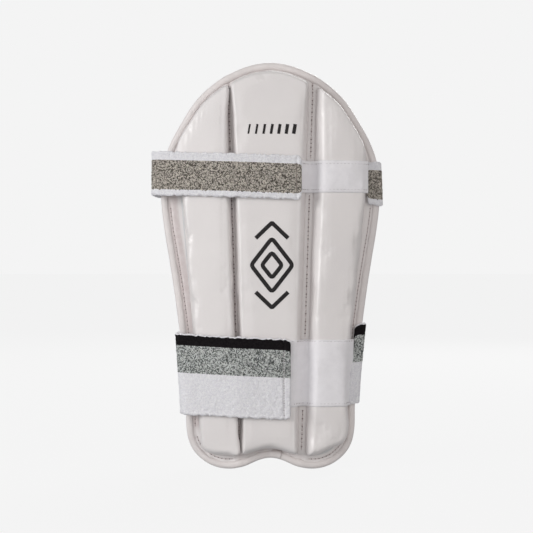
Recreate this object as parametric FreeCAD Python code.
"""Cricket forearm guard: three hinged padded panels and two elastic straps.

Lengths are in millimetres and angles in degrees. X runs to the right across the front, Y from the front
to the back, and Z up towards the elbow end. Heights are measured from the lower edge of the guard while
the pieces are made, and the last step moves the origin to the forearm seat, in the middle of the centre
panel's lining.
"""

import FreeCAD, Part
import math
import os

V = FreeCAD.Vector

# Where the forearm rests: the height of the origin above the lower edge.
seat_height = 152.0

# Half of the guard's outline, laid flat, from the notch between the two lower lobes round the right side
# to the crown: distance from the middle, then height.
half_outline = [
    (0, 8.4), (9, 6.6), (18, 2.6), (30, 0), (42, 1.6), (52, 7), (59.5, 15.5), (63, 26), (63.8, 42),
    (69, 104), (76.7, 156.5), (83, 200), (82.6, 222), (76.9, 243), (67.2, 260.5), (55, 278),
    (39.4, 291.2), (23.2, 300), (0, 305),
]

# Half of the raised area that the three bolsters fill together, read the same way.
half_raised = [
    (0, 15.8), (20, 11), (34, 9.2), (45, 12.6), (52, 21.5), (54.8, 38), (59.3, 104), (64.2, 156),
    (68.2, 200), (69.6, 224), (67.6, 243), (60, 257.5), (49.8, 272.6), (36, 284.6), (21, 293.2),
    (0, 297.8),
]

# The two stitched channels, which the side panels hinge on: half their spacing at two heights.
channel_low = 22.0
channel_high = 31.4
channel_height = 300.0
panel_gap = 0.4        # from a channel line to each panel beside it
channel_floor = 2.2    # from a channel line to the foot of each bolster
wing_lean = 12.0       # how far each side panel leans back from the centre panel

# Layers, from the lining at the back to the cover at the front.
lining = 1.2
base_foam = 3.3
cover = 1.0
shield = 1.5
bolster_foam = 10.0
ply_gap = 0.3          # between a layer and the cover that wraps it
round_over = 5.5       # rounding along the front edges of each bolster

# Edge binding, folded round the rim of every panel.
binding_width = 6.0
binding_ply = 1.0
rim_gap = 0.3

# Sewing thread along the channels and the outer margins.
thread = 0.6
thread_from_channel = 1.2
channel_thread_heights = (14.0, 288.0)
margin_thread_inset = 6.4
margin_thread_heights = (30.0, 196.0)

# Straps of towelling elastic and their hook and loop fastening.
strap = 2.5
tape = 1.2
hook = 1.5
tape_gap = 0.4
tape_from_channel = 1.4
fold_radius = 7.0      # where a strap turns from the side of the guard onto its front
back_radius = 20.0     # where a strap turns behind the forearm
bow_radius = 150.0
leg_end = 0.6          # the front end of a strap's back band, beside the fold
tab_start = -2.6       # the rear end of a strap's tab, beside the fold

reach = 400.0          # longer than the guard, for blocks that cut it

upper = {
    "heights": (205.5, 238.0),      # at the fold on the left
    "left": (-88.15, -88.15),       # strap centre line at the left, at the lower and the upper edge
    "right": (86.25, 86.25),
    "tab_end": 23.1,
    "tab_slope": -0.036,
    "band_slope": -0.043,
    "depth": (40.0, 52.0),          # behind the lining, at the two corners and in the middle
    "band_start": 19.0,
    "anchor_heights": (198.2, 231.4),
    "anchor_inset": 10.6,
    "tape_heights": (207.0, 231.0),
    "tape_start": -24.0,
    "hook_start": -22.0,
    "hook_inset": 4.0,
}
lower = {
    "heights": (42.0, 102.0),
    "left": (-66.2, -70.3),
    "right": (68.0, 73.2),
    "tab_end": 14.9,
    "tab_slope": -0.042,
    "band_slope": 0.052,
    "depth": (36.0, 47.0),
    "band_start": 16.0,
    "anchor_heights": (49.0, 109.0),
    "anchor_inset": 7.2,
    "tape_heights": (47.5, 97.5),
    "tape_start": -30.0,
    "hook_start": -18.0,
    "hook_inset": 5.0,
}

# Depths of the layers, which lie at negative Y because the front faces -Y.
foam_back = -lining
rim_front = foam_back - base_foam
margin_front = rim_front - cover
binding_front = margin_front - binding_ply
shield_front = rim_front - shield
bolster_front = shield_front - bolster_foam
guard_front = bolster_front - ply_gap - cover
tab_back = guard_front - tape - hook - tape_gap


def smooth_curve(points):
    """Closed smooth curve through the points."""
    curve = Part.BSplineCurve()
    curve.interpolate(points, PeriodicFlag=True)
    return curve


def inset_face(half, inset):
    """Flat face inside a half outline and its mirror image, drawn in by the inset (grown if negative)."""
    right = [V(x, 0, z) for x, z in half]
    left = [V(-x, 0, z) for x, z in reversed(half[1:-1])]
    curve = smooth_curve(right + left)
    moved = []
    for point in right + left:
        along = curve.tangent(curve.parameter(point))[0]
        moved.append(point + V(-along.z, 0, along.x) * inset)
    return Part.Face(Part.Wire([smooth_curve(moved).toShape()]))


def plate(half, inset, front, back):
    """An outline, inset, made solid between two depths."""
    solid = inset_face(half, inset).extrude(V(0, front - back, 0))
    solid.translate(V(0, back, 0))
    return solid


def channel_x(height):
    """Distance of a channel line from the middle."""
    return channel_low + (channel_high - channel_low) * height / channel_height


def slab(panel, gap):
    """Block that cuts one panel out of the guard, standing clear of the channel lines by the gap."""
    foot = channel_x(-reach)
    head = channel_x(reach)
    if panel == "centre":
        corners = [(gap - foot, -reach), (foot - gap, -reach), (head - gap, reach), (gap - head, reach)]
    else:
        corners = [(foot + gap, -reach), (reach, -reach), (reach, reach), (head + gap, reach)]
    points = [V(x, -reach, z) for x, z in corners]
    face = Part.Face(Part.makePolygon(points + points[:1]))
    return face.extrude(V(0, 2 * reach, 0))


def block(x_range, y_range, z_range):
    """Box between two corners."""
    size = [high - low for low, high in (x_range, y_range, z_range)]
    return Part.makeBox(*size, V(x_range[0], y_range[0], z_range[0]))


def one_solid(shape):
    """The single solid that a cut or a common leaves, or the whole shape where it leaves several."""
    solids = shape.Solids
    return solids[0] if len(solids) == 1 else Part.Compound(solids)


def raised_block(panel, inset, front, back, radius, heights=(-reach, reach)):
    """One bolster's outer form between two heights, with its own front edges rounded by the radius."""
    solid = plate(half_raised, inset, front, back).common(slab(panel, channel_floor + inset))
    solid = solid.common(block((-reach, reach), (-reach, reach), heights)).Solids[0]
    if not radius:
        return solid
    front_edges = [edge for edge in solid.Edges if edge.BoundBox.YMax < front + 0.01]
    return solid.makeFillet(radius, [edge for edge in front_edges if edge.BoundBox.ZLength > 0.01])


def panel_pieces(panel):
    """The layers of one panel, in the flat."""
    cut = slab(panel, panel_gap)
    hidden = raised_block(panel, cover, bolster_front - ply_gap, rim_front, round_over - cover)
    outside = raised_block(panel, 0, guard_front, rim_front, round_over)
    margin = plate(half_outline, binding_ply + rim_gap, margin_front, rim_front).common(cut)
    inner = cover + ply_gap
    return {
        "lining": plate(half_outline, binding_width + rim_gap, 0, foam_back).common(cut),
        "base_foam": plate(half_outline, binding_ply + rim_gap, rim_front, foam_back).common(cut),
        "shield": raised_block(panel, inner, shield_front, rim_front, 0),
        "bolster": raised_block(panel, inner, bolster_front, shield_front, round_over - inner),
        "cover": margin.fuse(outside).cut(hidden),
    }


def binding_ring():
    """The whole edge binding: a tape folded round the rim."""
    ring = plate(half_outline, 0, binding_front, 0)
    ring = ring.cut(plate(half_outline, binding_width, binding_front - 1, 1))
    return ring.cut(plate(half_outline, binding_ply, margin_front, foam_back))


def channel_thread():
    """Row of stitching along the right channel, on the centre panel's side of it, as one thin bar."""
    low, high = channel_thread_heights
    corners = [(low, 0), (low, thread), (high, thread), (high, 0)]
    points = [V(channel_x(z) - thread_from_channel + across, margin_front, z) for z, across in corners]
    face = Part.Face(Part.makePolygon(points + points[:1]))
    return face.extrude(V(0, -thread, 0))


def margin_thread():
    """Row of stitching along the right panel's outer margin, as one thin bar."""
    outer = plate(half_outline, margin_thread_inset, margin_front - thread, margin_front)
    ring = outer.cut(plate(half_outline, margin_thread_inset + thread, margin_front - 1, 0))
    return ring.common(block((0, reach), (-reach, reach), margin_thread_heights))


def loop_tape(panel, part):
    """Loop tape sewn over one bolster, following its rounded edges, and no further than the anchor."""
    low, high = part["tape_heights"]
    proud = raised_block(panel, -tape, guard_front - tape, margin_front, round_over + tape, (low, high))
    bare = raised_block(panel, 0, guard_front, margin_front + 1, round_over, (low - 1, high + 1))
    start = part["tape_start"] if panel == "centre" else 0
    strip = block((start, reach), (-reach, reach), (low, high)).common(slab(panel, tape_from_channel))
    strip = strip.common(plate(half_outline, part["anchor_inset"] + tape_gap, -reach, reach))
    return proud.cut(bare).common(strip)


def anchor(part):
    """A strap's sewn end: it lies on the right margin and turns round the rim to the back."""
    face_back = binding_front - tape_gap
    face_front = face_back - strap
    grip = block((0, reach), (-reach, reach), part["anchor_heights"])
    outer = rim_gap * 2 + strap
    leg = plate(half_outline, -outer, face_front, 3.0)
    leg = leg.cut(plate(half_outline, -rim_gap * 2, face_back, 4.0))
    return leg.cut(plate(half_outline, part["anchor_inset"], -reach, reach)).common(grip)


def offset_corners(corners, distance):
    """Corners of a bent path moved to its left, seen from above, by a distance."""
    moved = []
    for i, corner in enumerate(corners):
        normals = []
        for a, b in ((i - 1, i), (i, i + 1)):
            if a >= 0 and b < len(corners):
                run = (corners[b] - corners[a]).normalize()
                normals.append(V(-run.y, run.x, 0))
        mitre = sum(normals[1:], normals[0]).normalize()
        moved.append(corner + mitre * (distance / mitre.dot(normals[0])))
    return moved


def rounded_path(corners, radii):
    """Lines along a bent path, with an arc of its own radius at each inner corner."""
    edges = []
    start = corners[0]
    for before, corner, after, radius in zip(corners, corners[1:], corners[2:], radii):
        to_before = (before - corner).normalize()
        to_after = (after - corner).normalize()
        half = to_before.getAngle(to_after) / 2
        first = corner + to_before * (radius / math.tan(half))
        last = corner + to_after * (radius / math.tan(half))
        middle = corner + (to_before + to_after).normalize() * (radius / math.sin(half) - radius)
        edges.append(Part.LineSegment(start, first).toShape())
        edges.append(Part.Arc(first, middle, last).toShape())
        start = last
    edges.append(Part.LineSegment(start, corners[-1]).toShape())
    return edges


def strap_section(corners, radii):
    """Closed outline of a strap seen from above: its two faces, half a thickness each side of a path."""
    half = strap / 2
    outer = rounded_path(offset_corners(corners, half), [r + half for r in radii])
    inner = rounded_path(offset_corners(corners, -half), [r - half for r in radii])
    ends = [
        Part.LineSegment(outer[-1].Vertexes[-1].Point, inner[-1].Vertexes[-1].Point).toShape(),
        Part.LineSegment(inner[0].Vertexes[0].Point, outer[0].Vertexes[0].Point).toShape(),
    ]
    return Part.Wire(Part.__sortEdges__(outer + inner + ends))


def sloped(shape, slope, pivot_x):
    """The shape slid up or down in proportion to its distance to the right of the pivot."""
    shear = FreeCAD.Matrix()
    shear.A31 = slope
    shear.A34 = -slope * pivot_x
    return shape.transformGeometry(shear)


def strap_piece(part, path, radii, slope):
    """Strap along a path that may lean: the path is asked for at the lower and the upper edge."""
    sections = []
    for level, height in enumerate(part["heights"]):
        corners = [V(x, y, height) for x, y in path(part, level)]
        sections.append(strap_section(corners, radii))
    solid = Part.makeLoft(sections, True, True)
    return sloped(solid, slope, part["left"][0])


def tab_path(part, level):
    """Across the centre bolster, back along the left one, and round the fold."""
    middle = tab_back - strap / 2
    bend = -channel_x(part["heights"][level])
    left = part["left"][level]
    lean = math.tan(math.radians(wing_lean))
    return [(part["tab_end"], middle), (bend, middle), (left, middle + (bend - left) * lean),
            (left, tab_start)]


def band_path(part, level):
    """From the fold on the left, behind the forearm, to the anchor on the right."""
    left = part["left"][level]
    right = part["right"][level]
    corner, middle = part["depth"]
    return [(left, leg_end), (left, corner), (0, middle), (right, corner), (right, part["band_start"])]


def hook_patch(part):
    """Hook tape sewn to the inside of a tab, over the loop tape."""
    low, high = part["heights"]
    inset = part["hook_inset"]
    x_range = (part["hook_start"], part["tab_end"] - inset)
    patch = block(x_range, (tab_back, tab_back + hook), (low + inset, high - inset))
    return sloped(patch, part["tab_slope"], part["left"][0])


def leaned(shape):
    """A piece of the right side panel turned back about its channel from the flat."""
    foot = V(channel_low, 0, 0)
    axis = V(channel_high - channel_low, 0, channel_height)
    turned = shape.copy()
    turned.rotate(foot, axis, wing_lean)
    return turned


def mirrored(shape):
    """A right-hand piece made left-handed."""
    return shape.mirror(V(0, 0, 0), V(1, 0, 0))


def build():
    """Every piece by name."""
    pieces = {}
    for name, shape in panel_pieces("centre").items():
        pieces[f"centre_{name}"] = shape
    ring = binding_ring()
    rim = ring.common(slab("centre", panel_gap))
    pieces["binding_top"] = rim.common(block((-reach, reach), (-reach, reach), (seat_height, reach)))
    pieces["binding_bottom"] = rim.common(block((-reach, reach), (-reach, reach), (-reach, seat_height)))

    wing = panel_pieces("wing")
    wing["binding"] = ring.common(slab("wing", panel_gap))
    wing["margin_thread"] = margin_thread()
    for name, shape in wing.items():
        pieces[f"right_{name}"] = leaned(shape)
        pieces[f"left_{name}"] = mirrored(leaned(shape))
    pieces["right_channel_thread"] = channel_thread()
    pieces["left_channel_thread"] = mirrored(channel_thread())

    for name, part in (("upper", upper), ("lower", lower)):
        pieces[f"{name}_loop_tape_centre"] = loop_tape("centre", part)
        pieces[f"{name}_loop_tape_right"] = leaned(loop_tape("wing", part))
        pieces[f"{name}_strap_anchor"] = leaned(anchor(part))
        pieces[f"{name}_strap_band"] = strap_piece(
            part, band_path, [back_radius, bow_radius, back_radius], part["band_slope"])
        pieces[f"{name}_strap_tab"] = strap_piece(
            part, tab_path, [bow_radius / 5, fold_radius], part["tab_slope"])
        pieces[f"{name}_hook_patch"] = hook_patch(part)
    return pieces


os.makedirs("parts", exist_ok=True)
for node, shape in build().items():
    shape = one_solid(shape)
    shape.translate(V(0, 0, -seat_height))
    shape.exportStep(f"parts/{node}.step")
    print(node, len(shape.Solids), shape.isValid(), round(shape.Volume / 1000, 2), "cm3")
